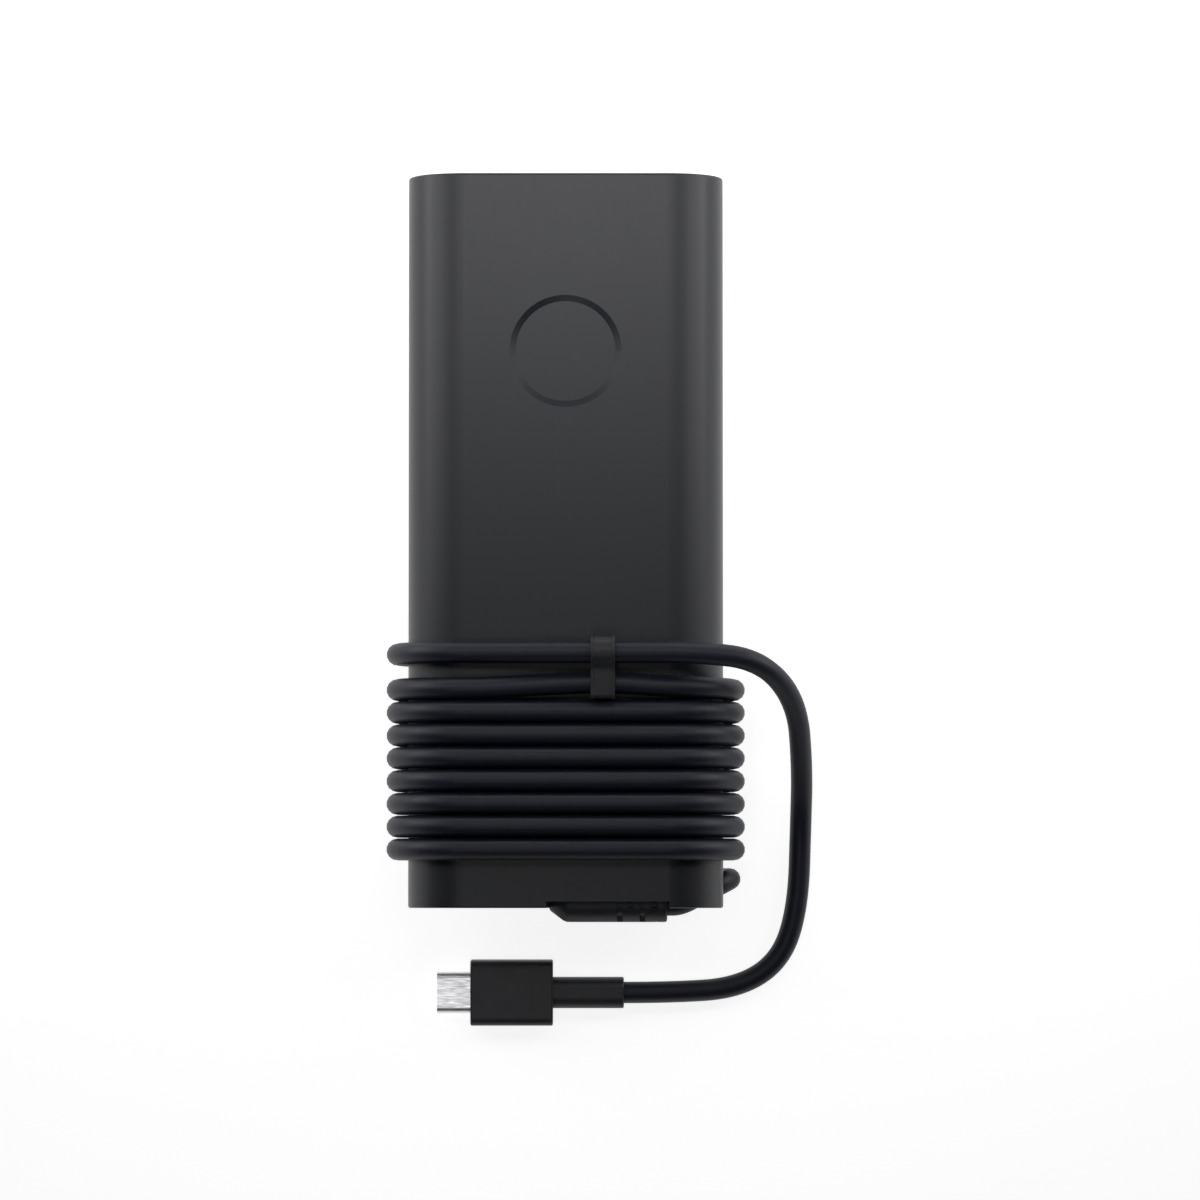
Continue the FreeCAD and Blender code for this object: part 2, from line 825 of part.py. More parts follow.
def core_frame(middle_x, middle_y, size, leg):
    """The outside of a pair of E cores: two plates along X joined by two outer legs."""
    width, depth = size
    body = block(middle_x, middle_y, (width, depth, part_height))
    return body.cut(block(middle_x, middle_y, (width - 2 * leg, depth - 2 * core_plate, part_height)))


def sleeve(middle_x, middle_y, inner, outer, length):
    start = Vector(middle_x, middle_y - length / 2, board_top + part_height / 2)
    end = start + Y * length
    whole = block(middle_x, middle_y, (2 * outer, length, part_height))
    return rod(outer, start, end).common(whole).cut(rod(inner, start, end))


def inductor_middle_leg(margin=0.0):
    """The core's flat middle leg, or the room for it inside the winding."""
    width = inductor_core_size[0] - 2 * (inductor_leg + inductor_window - margin)
    height = inductor_middle_height + 2 * margin
    size = (width, inductor_core_size[1] - 2 * core_plate, height)
    return block(inductor_x, inductor_y, size, board_top + (part_height - height) / 2)


def inductor_core():
    frame = core_frame(inductor_x, inductor_y, inductor_core_size, inductor_leg)
    return fused(frame, inductor_middle_leg())


def inductor_winding():
    width = inductor_core_size[0] - 2 * (inductor_leg + lip_gap)
    length = inductor_core_size[1] - 2 * (core_plate + lip_gap)
    start = Vector(inductor_x, inductor_y - length / 2, board_top + part_height / 2)
    turns = rounded_bar(start, length, Y, X, width, part_height, inductor_turn_corner)
    return turns.cut(inductor_middle_leg(lip_gap))


def power_transistors():
    """Two switching transistors, upright between the inductor and the transformer."""
    y = bulk_y - bulk_capacitor_length / 2 + transistor_depth / 2
    size = (transistor_width, transistor_depth, package_height)
    bodies = []
    for n in range(2):
        x = left_edge + transistor_width / 2 + n * (transistor_width + part_gap)
        bodies.append(fused(block(x, y, size), *package_leads(x, y)))
    return Part.makeCompound(bodies)


def transformer_inner():
    return (transformer_core_size[0] - 2 * transformer_leg - 2 * transformer_window) / 2 + lip_gap


def transformer_core():
    """A pair of E cores with a round middle leg."""
    frame = core_frame(0, transformer_y, transformer_core_size, transformer_leg)
    plates = transformer_core_size[1] / 2 - core_plate
    ends = [Vector(0, transformer_y + side * plates, board_top + part_height / 2) for side in (-1, 1)]
    height = block(0, transformer_y, (*transformer_core_size, part_height))
    return fused(frame, rod(transformer_inner() - lip_gap, *ends).common(height))


def transformer_bobbin():
    """The sleeve on the core's middle leg, with a flange at each end."""
    inner = transformer_inner()
    length = transformer_core_size[1] - 2 * core_plate - 2 * lip_gap
    tube_part = sleeve(0, transformer_y, inner, inner + bobbin_wall, length)
    flange_outer = inner + transformer_window - 2 * lip_gap
    flanges = [
        sleeve(0, transformer_y + side * (length - bobbin_wall) / 2, inner, flange_outer, bobbin_wall)
        for side in (-1, 1)
    ]
    return fused(tube_part, *flanges)


def transformer_winding():
    inner = transformer_inner() + bobbin_wall
    outer = transformer_inner() + transformer_window - 2 * lip_gap
    length = transformer_core_size[1] - 2 * core_plate - 2 * lip_gap - 2 * bobbin_wall
    return sleeve(0, transformer_y, inner, outer, length)


def optocoupler():
    x = right_edge - optocoupler_size[0] / 2
    steps = (-optocoupler_size[1] / 3, optocoupler_size[1] / 3)
    legs = leads([(x, transformer_y + step) for step in steps])
    return fused(block(x, transformer_y, optocoupler_size), *legs)


def secondary_heat_sink():
    y = secondary_y + rectifier_depth / 2
    return block(0, y, (secondary_sink_length, sink_thickness, tall_height))


def output_rectifiers():
    y = secondary_y - sink_thickness / 2
    size = (rectifier_width, rectifier_depth, package_height)
    bodies = []
    for side in (-1, 1):
        x = side * (rectifier_width + part_gap) / 2
        bodies.append(fused(block(x, y, size), *package_leads(x, y)))
    return Part.makeCompound(bodies)


def output_capacitors():
    cans = []
    pitch = 2 * output_capacitor_radius + part_gap / 2
    for n in range(output_capacitor_count):
        x = left_edge + output_capacitor_radius + n * pitch
        start = Vector(x, output_y, board_top)
        step = output_capacitor_radius / 2
        legs = leads([(x - step, output_y), (x + step, output_y)])
        can = rod(output_capacitor_radius, start, start + Z * tall_height)
        cans.append(fused(can, *legs))
    return Part.makeCompound(cans)


def control_board():
    """A small upright board beside the transformer, with its controller chips on one face."""
    x = left_edge + control_board_size[0] / 2
    board = block(x, transformer_y, control_board_size)
    face = x + control_board_size[0] / 2 + control_chip_size[0] / 2
    step = control_board_size[1] / 4
    low = board_top + control_board_size[2] / 3
    chips = [block(face, transformer_y + side * step, control_chip_size, low) for side in (-1, 1)]
    places = [(x, transformer_y + side * step) for side in (-1, 1)]
    legs = leads(places, radius=control_board_size[0] / 3)
    return fused(board, *chips, *legs)


def output_leads():
    """The cord's conductors, from the boot's collar along the case to holes in the main board."""
    bars = []
    hole_y = board_y[0] + output_lead_inset
    for side in (-1, 1):
        x = boot_neck_x + side * output_lead_spacing / 2
        z = board_top + output_lead_radius
        along = rod(output_lead_radius, Vector(x, collar_y[1], z), Vector(x, hole_y, z))
        down = leads([(x, hole_y)], z, output_lead_radius)[0]
        elbow = Part.makeSphere(output_lead_radius, Vector(x, hole_y, z))
        bars.append(fused(along, down, elbow))
    return Part.makeCompound(bars)


def main_board():
    board = box(board_x, board_y, (board_low, board_top))
    drills = [
        rod(radius, Vector(x, y, board_low - wall), Vector(x, y, board_top + wall))
        for x, y, radius in board_holes
    ]
    tail_rooms = [
        box(
            around(place.x, pin_tail_width + 2 * pin_tail_gap),
            (inlet_back_y - pin_tail_length - pin_tail_gap, inlet_back_y),
            around(place.z, pin_tail_thickness + 2 * pin_tail_gap),
        )
        for place in pins.values()
    ]
    return board.cut(drills + tail_rooms)


# ---------------------------------------------------------------- heat spreaders and film


def layer(z, shorter=0.0):
    stretch = (board_y[0] + shorter, board_y[1] - shorter)
    return box(around(0, spreader_width), stretch, z)


def thermal_pads():
    """Soft pads between the tall parts and the upper spreader."""
    low = board_top + part_height
    transformer_pad = block(0, transformer_y, (*transformer_core_size, thermal_pad_thickness), low)
    inductor_pad = block(inductor_x, inductor_y, (*inductor_core_size, thermal_pad_thickness), low)
    return Part.makeCompound([transformer_pad, inductor_pad.common(layer((0, case_thickness)))])


# ---------------------------------------------------------------- cord exit boot and cord keeper


def strain_relief_boot():
    """The rubber boot: along X in its recess, with a neck through the wall and a collar behind it."""
    left = boot_left + boot_radius
    axis = Vector(0, boot_axis_y, boot_axis_z)
    body = rod(boot_radius, axis + X * left, axis + X * boot_mouth)
    elbow = Part.makeSphere(boot_radius, axis + X * left)
    neck_axis = axis + X * boot_neck_x
    neck = rod(boot_neck_radius, neck_axis, neck_axis + Y * (collar_y[1] - boot_axis_y))
    collar = box(
        around(boot_neck_x, boot_collar_size), collar_y, around(boot_axis_z, boot_collar_size)
    )
    shape = fused(body, elbow, neck, collar)
    bore_radius = cord_radius + boot_bore_gap
    bore = rod(bore_radius, axis + X * (boot_mouth - boot_bore_length), axis + X * case_width)
    core = rod(bore_radius + boot_core_wall, axis, axis + X * boot_mouth)
    reach = 2 * boot_radius + boot_slot_long
    web = box((boot_left, boot_mouth), around(boot_axis_y, reach), around(boot_axis_z, boot_web))
    cuts = []
    for n in range(boot_slot_count):
        right = boot_mouth - boot_end_band - n * boot_slot_pitch
        x = (right - boot_slot_width, right)
        side = 1 if n % 2 == 0 else -1
        near = boot_axis_y - side * boot_slot_past_axis
        y = (near, near + side * 2 * boot_radius)
        slot = box(x, (min(y), max(y)), around(boot_axis_z, reach))
        cuts.append(slot.cut([core, web]))
    return shape.cut([bore, *cuts])


def cord_keeper():
    """A ring that turns on the last pass, and a hook round the pass beside it."""
    x = around(keeper_x, keeper_width)
    pivot_y, pivot_z = last_turn_y, case_thickness + last_turn_height
    pivot = Vector(x[0], pivot_y, pivot_z)
    across = lambda radius: rod(radius, pivot, pivot + X * keeper_width)
    nip_y = nipped_turn_y + nip_shift
    nip_z = case_thickness + wrap_height
    reach = math.hypot(pivot_y - nip_y, pivot_z - nip_z) + cord_radius + keeper_hook_gap
    outer = reach + keeper_hook_wall
    plate_low = nip_z + cord_radius + keeper_hook_gap
    plate_high = plate_low + keeper_hook_wall
    front = (pivot_y - outer, pivot_y)
    plate = box(x, front, (plate_low, plate_high)).common(across(outer))
    tip_low = nip_z - cord_radius / 2
    lip = across(outer).cut(across(reach)).common(box(x, front, (tip_low, plate_high)))
    fill = box(x, (pivot_y - keeper_ring_radius, pivot_y), (plate_low, plate_high))
    return fused(across(keeper_ring_radius), plate, lip, fill).cut(across(cord_radius + keeper_bore_gap))


# ---------------------------------------------------------------- plug


def plug_bar(x, width, height, corner):
    start = Vector(x[0], plug_axis_y, plug_axis_z)
    return rounded_bar(start, x[1] - x[0], X, Y, width, height, corner)


def end_rims(shape, *planes):
    """A shape's edges that lie in planes across X."""
    return [
        edge
        for edge in shape.Edges
        if edge.BoundBox.XLength < 1e-6 and min(abs(edge.BoundBox.XMin - x) for x in planes) < 1e-6
    ]


def shell_bar(x, shrink):
    height = shell_thickness - 2 * shrink
    return plug_bar(x, shell_width - 2 * shrink, height, height / 2 - 1e-3)


def plug_body():
    body = plug_bar((plug_front_x, plug_back_x), plug_body_width, plug_body_thickness, plug_body_edge)
    body = body.makeFillet(plug_end_edge, end_rims(body, plug_front_x, plug_back_x))
    pocket = shell_bar((plug_front_x - wall, plug_front_x + shell_root), -shell_fit)
    board_room = box(
        (plug_front_x, plug_front_x + shell_root + plug_board_length),
        around(plug_axis_y, plug_board_width + 2 * shell_fit),
        around(plug_axis_z, plug_board_thickness + 2 * shell_fit),
    )
    return body.cut([pocket, board_room])


def plug_boot():
    x = (plug_back_x, plug_boot_end_x)
    boot = plug_bar(x, plug_boot_width, plug_boot_thickness, plug_boot_edge)
    return boot.makeFillet(plug_end_edge, end_rims(boot, plug_boot_end_x))


def plug_shell():
    x = (plug_front_x - shell_reach, plug_front_x + shell_root)
    return shell_bar(x, 0).cut(shell_bar(x, shell_wall))


def plug_tongue_carrier():
    """The insulator in the shell, open at the front for the socket's tongue, grooved for contacts."""
    x = (plug_front_x - shell_reach + shell_wall, plug_front_x + shell_root)
    body = shell_bar(x, shell_wall + shell_fit)
    slot = box(
        (x[0], x[0] + tongue_slot_depth), around(plug_axis_y, tongue_slot_width),
        around(plug_axis_z, tongue_slot_height),
    )
    grooves = [bar for bars in contact_bars(shell_fit) for bar in bars]
    return body.cut([slot, *grooves, *latch_bars(shell_fit)])


def contact_bars(grow):
    """Two rows of flat contacts, above and below the slot, grown by a fit."""
    x = (
        plug_front_x - shell_reach + shell_wall + contact_setback - grow,
        plug_front_x - shell_reach + shell_wall + tongue_slot_depth + grow,
    )
    sides = []
    for side in (-1, 1):
        z = plug_axis_z + side * (tongue_slot_height / 2)
        bars = []
        for n in range(contact_count):
            y = plug_axis_y + (n - (contact_count - 1) / 2) * contact_pitch
            bars.append(
                box(x, around(y, contact_width + 2 * grow), around(z, contact_thickness + 2 * grow))
            )
        sides.append(bars)
    return sides


def plug_contacts():
    return Part.makeCompound([bar for bars in contact_bars(0) for bar in bars])


def latch_bars(grow):
    """The two side springs that hold the plug in its socket."""
    x0 = plug_front_x - shell_reach + shell_wall + contact_setback - grow
    bars = []
    for side in (-1, 1):
        y = plug_axis_y + side * tongue_slot_width / 2
        bars.append(
            box(
                (x0, x0 + latch_length + grow), around(y, latch_thickness + 2 * grow),
                around(plug_axis_z, latch_width + 2 * grow),
            )
        )
    return bars


def plug_latches():
    return Part.makeCompound(latch_bars(0))


def plug_board():
    x = plug_front_x + shell_root
    return box(
        (x, x + plug_board_length), around(plug_axis_y, plug_board_width),
        around(plug_axis_z, plug_board_thickness),
    )


# ---------------------------------------------------------------- the nodes

in_case = {
    "front_cover": front_cover,
    "back_cover": back_cover,
    "rating_label": rating_label,
    "inlet_socket": inlet_socket,
    "line_pin": lambda: contact_pin("line_pin"),
    "neutral_pin": lambda: contact_pin("neutral_pin"),
    "earth_pin": lambda: contact_pin("earth_pin"),
    "mains_leads": mains_leads,
    "inlet_fuse": inlet_fuse,
    "x_capacitor": x_capacitor,
    "choke_core": choke_core,
    "choke_winding": choke_winding,
    "y_capacitors": y_capacitors,
    "bridge_rectifier": bridge_rectifier,
    "primary_heat_sink": primary_heat_sink,
    "bulk_capacitors": bulk_capacitors,
    "inductor_core": inductor_core,
    "inductor_winding": inductor_winding,
    "power_transistors": power_transistors,
    "transformer_core": transformer_core,
    "transformer_bobbin": transformer_bobbin,
    "transformer_winding": transformer_winding,
    "optocoupler": optocoupler,
    "secondary_heat_sink": secondary_heat_sink,
    "output_rectifiers": output_rectifiers,
    "output_capacitors": output_capacitors,
    "control_board": control_board,
    "output_leads": output_leads,
    "main_board": main_board,
    "lower_heat_spreader": lambda: layer(lower_spreader_z),
    "lower_film": lambda: layer(lower_film_z),
    "upper_heat_spreader": lambda: layer(upper_spreader_z),
    "upper_film": lambda: layer(upper_film_z),
    "thermal_pads": thermal_pads,
    "strain_relief_boot": strain_relief_boot,
    "wound_cord": wound_cord,
    "cord_keeper": cord_keeper,
}
on_desk = {
    "free_cord": free_cord,
    "plug_boot": plug_boot,
    "plug_body": plug_body,
    "plug_shell": plug_shell,
    "plug_tongue_carrier": plug_tongue_carrier,
    "plug_contacts": plug_contacts,
    "plug_latches": plug_latches,
    "plug_board": plug_board,
}

os.makedirs("parts", exist_ok=True)
for name, make in in_case.items():
    shape = make()
    shape.Placement = at_rest.multiply(shape.Placement)
    shape.exportStep(f"parts/{name}.step")
for name, make in on_desk.items():
    make().exportStep(f"parts/{name}.step")
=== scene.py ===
"""Laptop power adapter with its output cord wound round the case, dressed for rendering.

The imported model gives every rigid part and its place. This script adds the cord on its full length, the
cord's boot and keeper, and the finish of every surface, and sets them on a pale table under soft light.
Lengths are in metres. Places written in millimetres are in the case's own axes: X across the case,
Y towards its mains inlet, Z out of its front face, from the middle of the back face.
"""

import json
import math

import bmesh
import bpy
from bpy.props import FloatProperty, FloatVectorProperty, IntProperty, PointerProperty
from mathutils import Matrix, Vector
from mathutils.geometry import tessellate_polygon


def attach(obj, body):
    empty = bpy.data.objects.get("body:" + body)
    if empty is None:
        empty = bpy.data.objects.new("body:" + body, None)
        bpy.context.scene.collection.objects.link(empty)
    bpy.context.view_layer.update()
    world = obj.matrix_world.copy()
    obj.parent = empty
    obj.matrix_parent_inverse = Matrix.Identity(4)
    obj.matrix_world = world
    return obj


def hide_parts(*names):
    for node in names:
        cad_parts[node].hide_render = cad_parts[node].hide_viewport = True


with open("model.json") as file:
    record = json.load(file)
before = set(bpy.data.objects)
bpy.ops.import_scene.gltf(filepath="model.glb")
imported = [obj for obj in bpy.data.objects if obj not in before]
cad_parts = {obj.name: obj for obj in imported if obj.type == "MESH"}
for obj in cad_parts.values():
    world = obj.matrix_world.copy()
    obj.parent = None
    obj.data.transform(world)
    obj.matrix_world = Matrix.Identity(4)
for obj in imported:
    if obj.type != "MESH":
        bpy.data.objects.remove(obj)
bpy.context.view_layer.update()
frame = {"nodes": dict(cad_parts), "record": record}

bl_info = {
    "name": "Laptop power adapter",
    "version": (1, 0, 0),
    "blender": (4, 5, 0),
    "location": "View3D > Sidebar > Adapter",
    "description": "Dresses a packed laptop power adapter with its wound cord, finishes and stage",
    "category": "Object",
}

MM = 0.001

# The case, in millimetres
HALF_LENGTH = 72.0
HALF_THICKNESS = 11.0
HALF_FLAT = 20.0

# The winding, in millimetres
TURN_COUNT = 8
TURN_RADIUS = 13.15
FIRST_TURN_Y = -60.5
TURN_PITCH = 4.48
LAST_TURN_Y = -22.14
BACK_Z = HALF_THICKNESS - TURN_RADIUS
FRONT_Z = HALF_THICKNESS + TURN_RADIUS
SIDE_STEP = 30.0
LAST_PASS_Z = 25.72
NIP_EASE = (0.25, 0.1, 0.0, 0.0, 0.0, 0.0)

# The cord from inside its boot, round the open corner of the case and on to the first turn's back run
EXIT_RUN = [
    (12.0, -71.4, 7.4),
    (19.5, -71.4, 7.4),
    (22.6, -71.4, 7.4),
    (26.44, -69.35, 7.4),
    (29.96, -67.55, 7.4),
    (32.45, -66.28, 4.6),
    (32.45, -66.28, 0.65),
    (29.66, -66.28, -2.15),
    (25.4, -66.28, -2.15),
]

# The free stretch, in the frame's axes: over the side of the case, down to the table, round to the plug
FREE_RUN = [
    (14.0, -21.47, 29.843),
    (25.5, -21.47, 29.843),
    (38.0, -22.9, 28.2),
    (45.5, -31.3, 19.5),
    (46.8, -45.0, 8.5),
    (46.7, -55.5, 2.4),
    (46.2, -72.2, 2.0),
    (42.8, -83.0, 2.0),
    (34.2, -88.6, 2.0),
    (20.5, -89.4, 3.25),
    (11.0, -89.4, 3.25),
]

# The boot at the cord's exit, about the axis of the cord there
BOOT_AXIS = (-71.4, 7.4)
BOOT_SLOTS = [(16.8, 1), (14.57, -1), (12.34, 1), (10.11, -1)]
BOOT_SLOT_WIDTH = 1.1
BOOT_WEB = 1.4

# The keeper, about the hinge in the middle of the last pass
KEEPER_X = (4.9, 9.7)
KEEPER_PIVOT = (LAST_TURN_Y, LAST_PASS_Z)
KEEPER_RING_RADIUS = 3.57
KEEPER_BORE_RADIUS = 2.24


def linear(code):
    """Linear colour from an sRGB hex value."""
    parts = [int(code[i : i + 2], 16) / 255 for i in (1, 3, 5)]
    return tuple(c / 12.92 if c <= 0.04045 else ((c + 0.055) / 1.055) ** 2.4 for c in parts)


# ---------------------------------------------------------------- sizes and colours that a user changes


class CordSettings(bpy.types.PropertyGroup):
    diameter: FloatProperty(
        name="Diameter", description="Outside diameter of the cord's jacket", default=4.3 * MM,
        min=3.6 * MM, max=4.4 * MM, unit="LENGTH", precision=5,
    )
    roundness: IntProperty(
        name="Roundness", description="Faces across a quarter of the jacket's section", default=5,
        min=2, max=12,
    )
    colour: FloatVectorProperty(
        name="Colour", description="Colour of the jacket", subtype="COLOR", size=3, min=0, max=1,
        default=linear("#0c101e"),
    )


class KeeperSettings(bpy.types.PropertyGroup):
    rim_width: FloatProperty(
        name="Rim width", description="Width of the raised rim along each side of the strap",
        default=0.55 * MM, min=0.3 * MM, max=1.2 * MM, unit="LENGTH", precision=5,
    )
    rim_height: FloatProperty(
        name="Rim height", description="How far the rims stand above the strap's middle",
        default=0.16 * MM, min=0.05 * MM, max=0.3 * MM, unit="LENGTH", precision=5,
    )
    colour: FloatVectorProperty(
        name="Colour", description="Colour of the keeper's rubber", subtype="COLOR", size=3, min=0, max=1,
        default=linear("#1a1b1f"),
    )


class CaseSettings(bpy.types.PropertyGroup):
    colour: FloatVectorProperty(
        name="Colour", description="Colour of the case's plastic", subtype="COLOR", size=3, min=0, max=1,
        default=linear("#11131a"),
    )
    grain: FloatProperty(
        name="Grain", description="Size of the pits of the moulded surface texture", default=0.45 * MM,
        min=0.05 * MM, max=2 * MM, unit="LENGTH", precision=5,
    )


class StageSettings(bpy.types.PropertyGroup):
    camera_height: FloatProperty(
        name="Camera height", description="Height of the camera above the table", default=1.3,
        min=0.5, max=5, unit="LENGTH",
    )
    key_power: FloatProperty(
        name="Key lamp", description="Power of the soft lamp above the inlet end", default=0.064,
        min=0, max=50, unit="POWER",
    )
    side_power: FloatProperty(
        name="Side lamps", description="Power of the four soft lamps on each side of the case",
        default=0.703, min=0, max=50, unit="POWER",
    )
    far_power: FloatProperty(
        name="Far lamp", description="Power of the low lamp beyond the inlet end, for the turns",
        default=0.62, min=0, max=50, unit="POWER",
    )
    near_power: FloatProperty(
        name="Near lamp", description="Power of the fill lamp on the plug's side", default=0.035,
        min=0, max=50, unit="POWER",
    )
    card_power: FloatProperty(
        name="Card", description="Power of the small soft card above the plug, for its bright metal",
        default=0.13, min=0, max=50, unit="POWER",
    )


class AdapterSettings(bpy.types.PropertyGroup):
    cord: PointerProperty(type=CordSettings)
    keeper: PointerProperty(type=KeeperSettings)
    case: PointerProperty(type=CaseSettings)
    stage: PointerProperty(type=StageSettings)


# ---------------------------------------------------------------- places


def case_to_frame():
    """The matrix from the case's own millimetres to the frame, from the mains inlet's place."""
    inlet = next(mount for mount in frame["record"]["mounts"] if mount["name"] == "mains_inlet")
    y = Vector(inlet["axis"]).normalized()
    x = Vector((1, 0, 0))
    z = x.cross(y)
    turn = Matrix((x, y, z)).transposed()
    origin = Vector(inlet["pos_m"]) - (y * HALF_LENGTH + z * HALF_THICKNESS) * MM
    return Matrix.Translation(origin) @ turn.to_4x4() @ Matrix.Scale(MM, 4)


CASE = case_to_frame()


def link(name, data, body):
    """Puts a new piece into the scene, riding on a body."""
    piece = bpy.data.objects.new(name, data)
    bpy.context.scene.collection.objects.link(piece)
    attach(piece, body)
    return piece


def mesh_from(bm, name, crease_degrees=35):
    """A smooth-shaded mesh, sharp only where its faces meet at more than the crease angle."""
    bmesh.ops.remove_doubles(bm, verts=bm.verts, dist=0.002 * MM)
    bmesh.ops.recalc_face_normals(bm, faces=bm.faces)
    mesh = bpy.data.meshes.new(name)
    bm.to_mesh(mesh)
    bm.free()
    for face in mesh.polygons:
        face.use_smooth = True
    mesh.set_sharp_from_angle(angle=math.radians(crease_degrees))
    return mesh


def lathe(bm, profile, axis_y, axis_z, count=64):
    """Turns (x, radius) points, in millimetres, round a line along X."""
    rings = []
    for x, radius in profile:
        ring = []
        for n in range(count):
            angle = 2 * math.pi * n / count
            place = Vector((x, axis_y + radius * math.cos(angle), axis_z + radius * math.sin(angle)))
            ring.append(bm.verts.new(CASE @ place))
        rings.append(ring)
    for first, second in zip(rings, rings[1:]):
        for n in range(count):
            after = (n + 1) % count
            bm.faces.new((first[n], first[after], second[after], second[n]))
    return rings


# ---------------------------------------------------------------- materials

# Refractive indices, chosen for the look, a little under the plastics' own
CASE_INDEX = 1.48
MOULDED_INDEX = 1.42


def socket(sockets, key):
    """A node's socket by its name, or by its identifier where several share a name."""
    return next((s for s in sockets if s.identifier == key), None) or sockets[key]


def add_node(tree, kind, inputs=None, **settings):
    """Adds a node with its settings, and gives its inputs values or links from other nodes' outputs."""
    node = tree.nodes.new(kind)
    for name, value in settings.items():
        setattr(node, name, value)
    for key, value in (inputs or {}).items():
        if isinstance(value, bpy.types.NodeSocket):
            tree.links.new(value, socket(node.inputs, key))
        else:
            socket(node.inputs, key).default_value = value
    return node


def new_material(name):
    """An empty node material, its tree and the output of its object coordinates."""
    material = bpy.data.materials.new(name)
    material.use_nodes = True
    tree = material.node_tree
    tree.nodes.clear()
    place = add_node(tree, "ShaderNodeTexCoord").outputs["Object"]
    return material, tree, place


def close_material(tree, shader_inputs, bump=None, bump_distance=0.0, bump_strength=1.0):
    """Adds the surface shader, with a bump from a height if there is one, and the output."""
    if bump is not None:
        relief = add_node(
            tree, "ShaderNodeBump",
            {"Height": bump, "Distance": bump_distance, "Strength": bump_strength},
        )
        shader_inputs = {**shader_inputs, "Normal": relief.outputs["Normal"]}
    shader = add_node(tree, "ShaderNodeBsdfPrincipled", shader_inputs)
    add_node(tree, "ShaderNodeOutputMaterial", {"Surface": shader.outputs["BSDF"]})


def noise(tree, place, size, detail=2.0):
    """The value of a noise whose features are that large, in metres."""
    inputs = {"Vector": place, "Scale": 1 / size, "Detail": detail, "Roughness": 0.55}
    return add_node(tree, "ShaderNodeTexNoise", inputs).outputs["Fac"]


def between(tree, factor, low, high):
    """A colour between two, by a factor."""
    inputs = {"Factor_Float": factor, "A_Color": (*low, 1), "B_Color": (*high, 1)}
    mix = add_node(tree, "ShaderNodeMix", inputs, data_type="RGBA")
    return socket(mix.outputs, "Result_Color")


def span(tree, value, low, high, start=0.3, end=0.7):
    """A value moved from start and end to low and high."""
    inputs = {"Value": value, "From Min": start, "From Max": end, "To Min": low, "To Max": high}
    return add_node(tree, "ShaderNodeMapRange", inputs).outputs["Result"]


def shade(colour, factor):
    """A colour made lighter or darker by a factor."""
    return tuple(min(1.0, part * factor) for part in colour)


def spark_textured_polycarbonate(colour, grain):
    """Polycarbonate blend moulded in a spark-eroded tool: tiny even pits that spread the light softly,
    with a faint unevenness where the melt met the steel."""
    material, tree, place = new_material("spark-textured polycarbonate")
    pits = noise(tree, place, grain, 3.0)
    flow = noise(tree, place, 16 * MM, 1.0)
    skin = between(tree, span(tree, flow, 0, 1), shade(colour, 0.92), shade(colour, 1.08))
    rough = span(tree, pits, 0.37, 0.43)
    close_material(
        tree, {"Base Color": skin, "Roughness": rough, "IOR": CASE_INDEX}, pits, 0.012 * MM, 0.5
    )
    return material


def moulded(name, colour, grain, roughness, relief=0.01 * MM):
    """A moulded solid: one colour, slightly clouded, and an even grain that breaks up the gloss."""
    material, tree, place = new_material(name)
    grains = noise(tree, place, grain, 3.0)
    cloud = span(tree, noise(tree, place, 9 * grain, 1.0), 0, 1)
    skin = between(tree, cloud, shade(colour, 0.9), shade(colour, 1.1))
    rough = span(tree, grains, roughness - 0.04, roughness + 0.04)
    shader_inputs = {"Base Color": skin, "Roughness": rough, "IOR": MOULDED_INDEX}
    close_material(tree, shader_inputs, grains, relief, 0.5)
    return material


def plated(name, colour, roughness, stretch, relief=0.003 * MM):
    """A plated metal: fine drawing lines, along X when stretched, and dull handling marks."""
    material, tree, place = new_material(name)
    drawn = add_node(tree, "ShaderNodeMapping", {"Vector": place, "Scale": (1 / stretch, 1, 1)})
    lines = noise(tree, drawn.outputs["Vector"], 0.25 * MM, 2.0)
    marks = noise(tree, place, 2.5 * MM, 2.0)
    skin = between(tree, span(tree, marks, 0, 1), shade(colour, 0.93), colour)
    rough = span(tree, lines, roughness - 0.05, roughness + 0.07)
    close_material(
        tree, {"Base Color": skin, "Metallic": 1.0, "Roughness": rough}, lines, relief, 0.4
    )
    return material


def wound_copper(name, colour, wire, direction):
    """Enamelled wire in tight turns under a clear varnish: relief at the wire's own pitch, with painted
    shade darkening the grooves between the turns.
    """
    material, tree, place = new_material(name)
    wave = add_node(
        tree, "ShaderNodeTexWave", {"Vector": place, "Scale": 0.5 / wire, "Distortion": 0.0},
        bands_direction=direction,
    )
    relief_and_groove_shade = wave.outputs["Fac"]
    # Painted shade: the grooves between the turns of wire are darkened to 35% of the copper's colour, and
    # the crests keep it. The same wave also gives the bump.
    skin = between(tree, relief_and_groove_shade, shade(colour, 0.35), colour)
    close_material(
        tree, {"Base Color": skin, "Metallic": 0.6, "Roughness": 0.32, "Coat Weight": 0.6}, relief_and_groove_shade,
        0.2 * MM, 0.8,
    )
    return material


